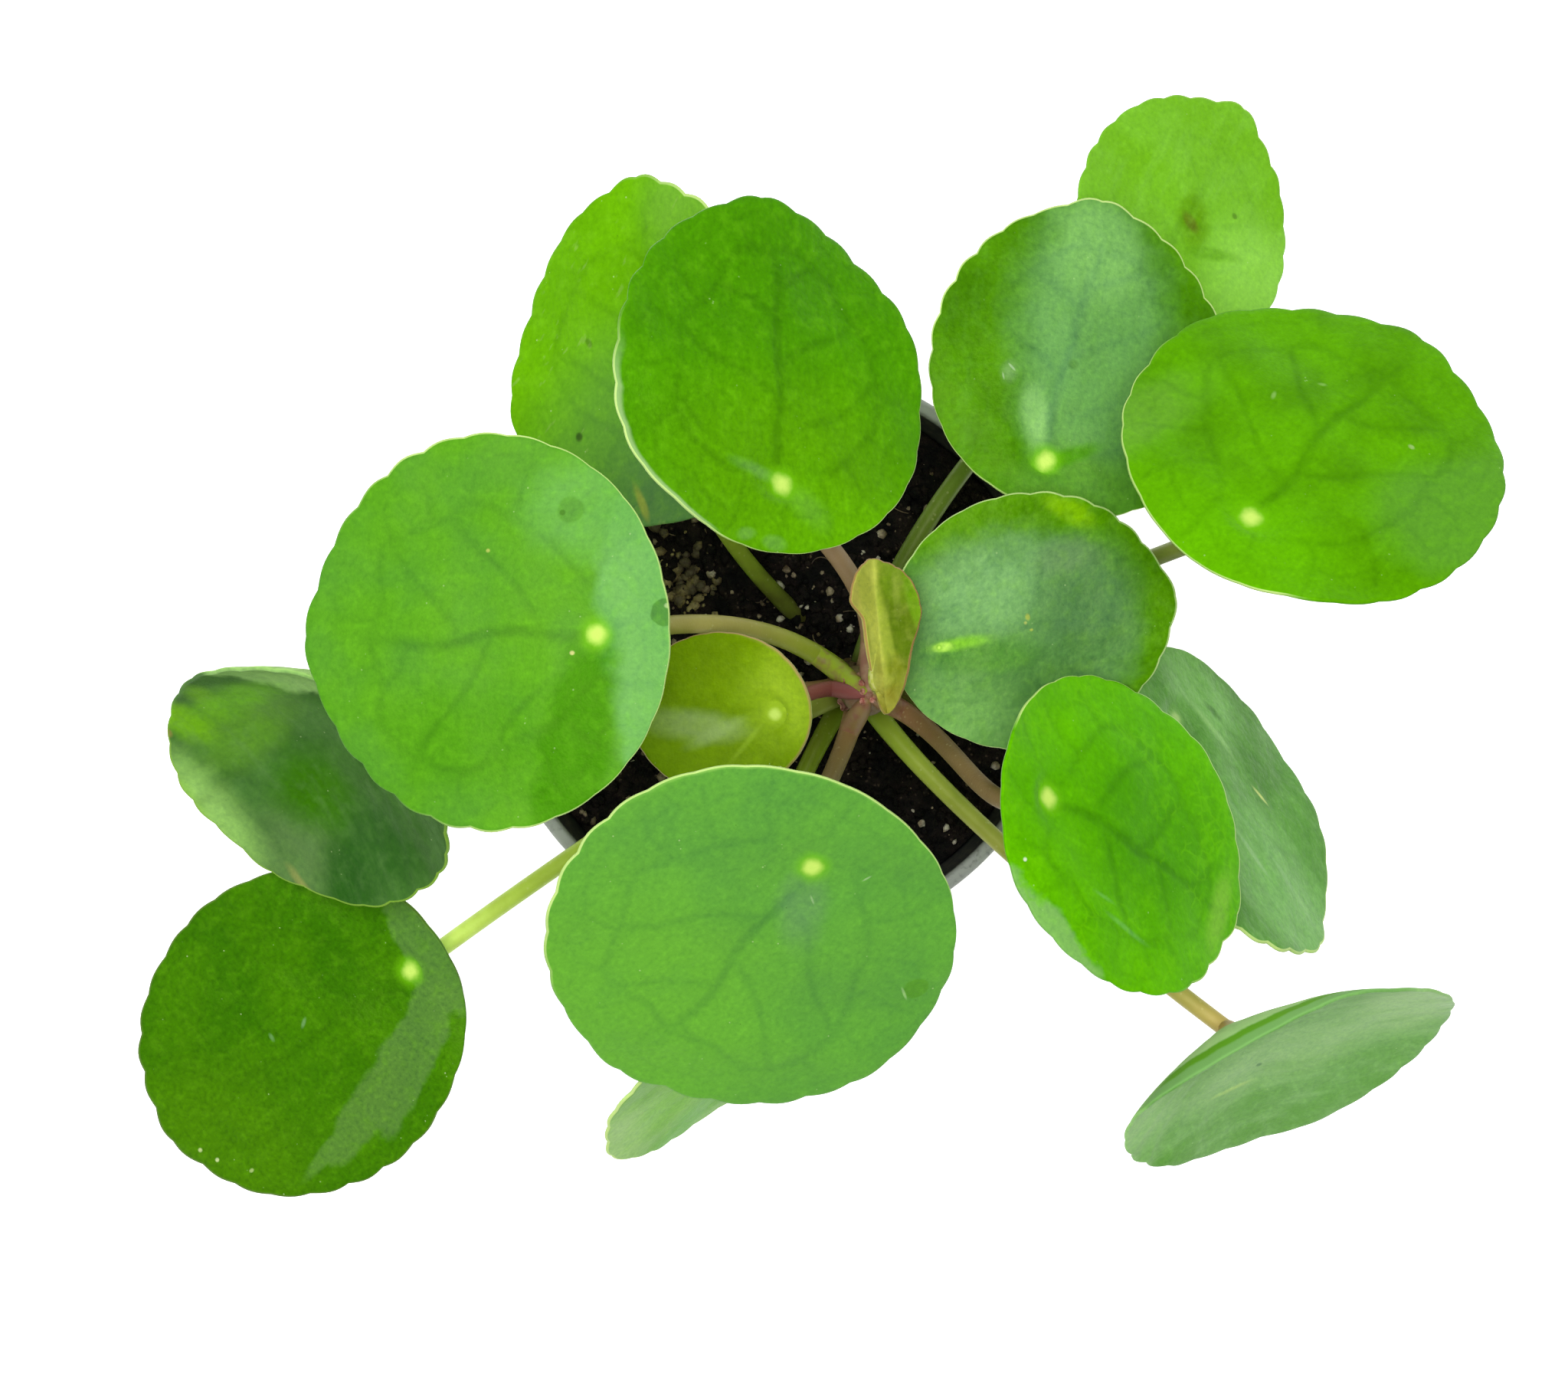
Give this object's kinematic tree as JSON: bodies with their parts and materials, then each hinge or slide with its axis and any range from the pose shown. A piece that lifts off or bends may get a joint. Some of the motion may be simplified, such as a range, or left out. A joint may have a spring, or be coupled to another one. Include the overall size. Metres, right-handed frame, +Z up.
{
  "type": "potted chinese money plant",
  "caption": "Potted Chinese money plant: round scalloped leaves on long stalks from one short stem, in soil in a plain tapered nursery pot.",
  "frame": {"origin": "middle of the pot's flat underside", "axes": "+Z up, +Y to the back of the plant, +X to its right as the reference view from above shows it"},
  "size_m": [0.2715, 0.228, 0.1812],
  "materials": {
    "leaf": "fleshy green leaf, smooth and half glossy above",
    "stem": "brown green stem with ringed leaf scars",
    "soil": "dark moist peat with grit",
    "pot": "dusty black nursery plastic"
  },
  "bodies": {
    "root": {"pot": "pot", "soil": "soil", "stem": "stem", "leaf_01": "leaf", "leaf_02": "leaf", "leaf_03": "leaf", "leaf_04": "leaf", "leaf_05": "leaf", "leaf_06": "leaf", "leaf_07": "leaf", "leaf_08": "leaf", "leaf_09": "leaf", "leaf_10": "leaf", "leaf_11": "leaf", "leaf_12": "leaf", "leaf_13": "leaf", "leaf_14": "leaf", "leaf_15": "leaf", "leaf_16": "leaf"}
  },
  "joints": []
}
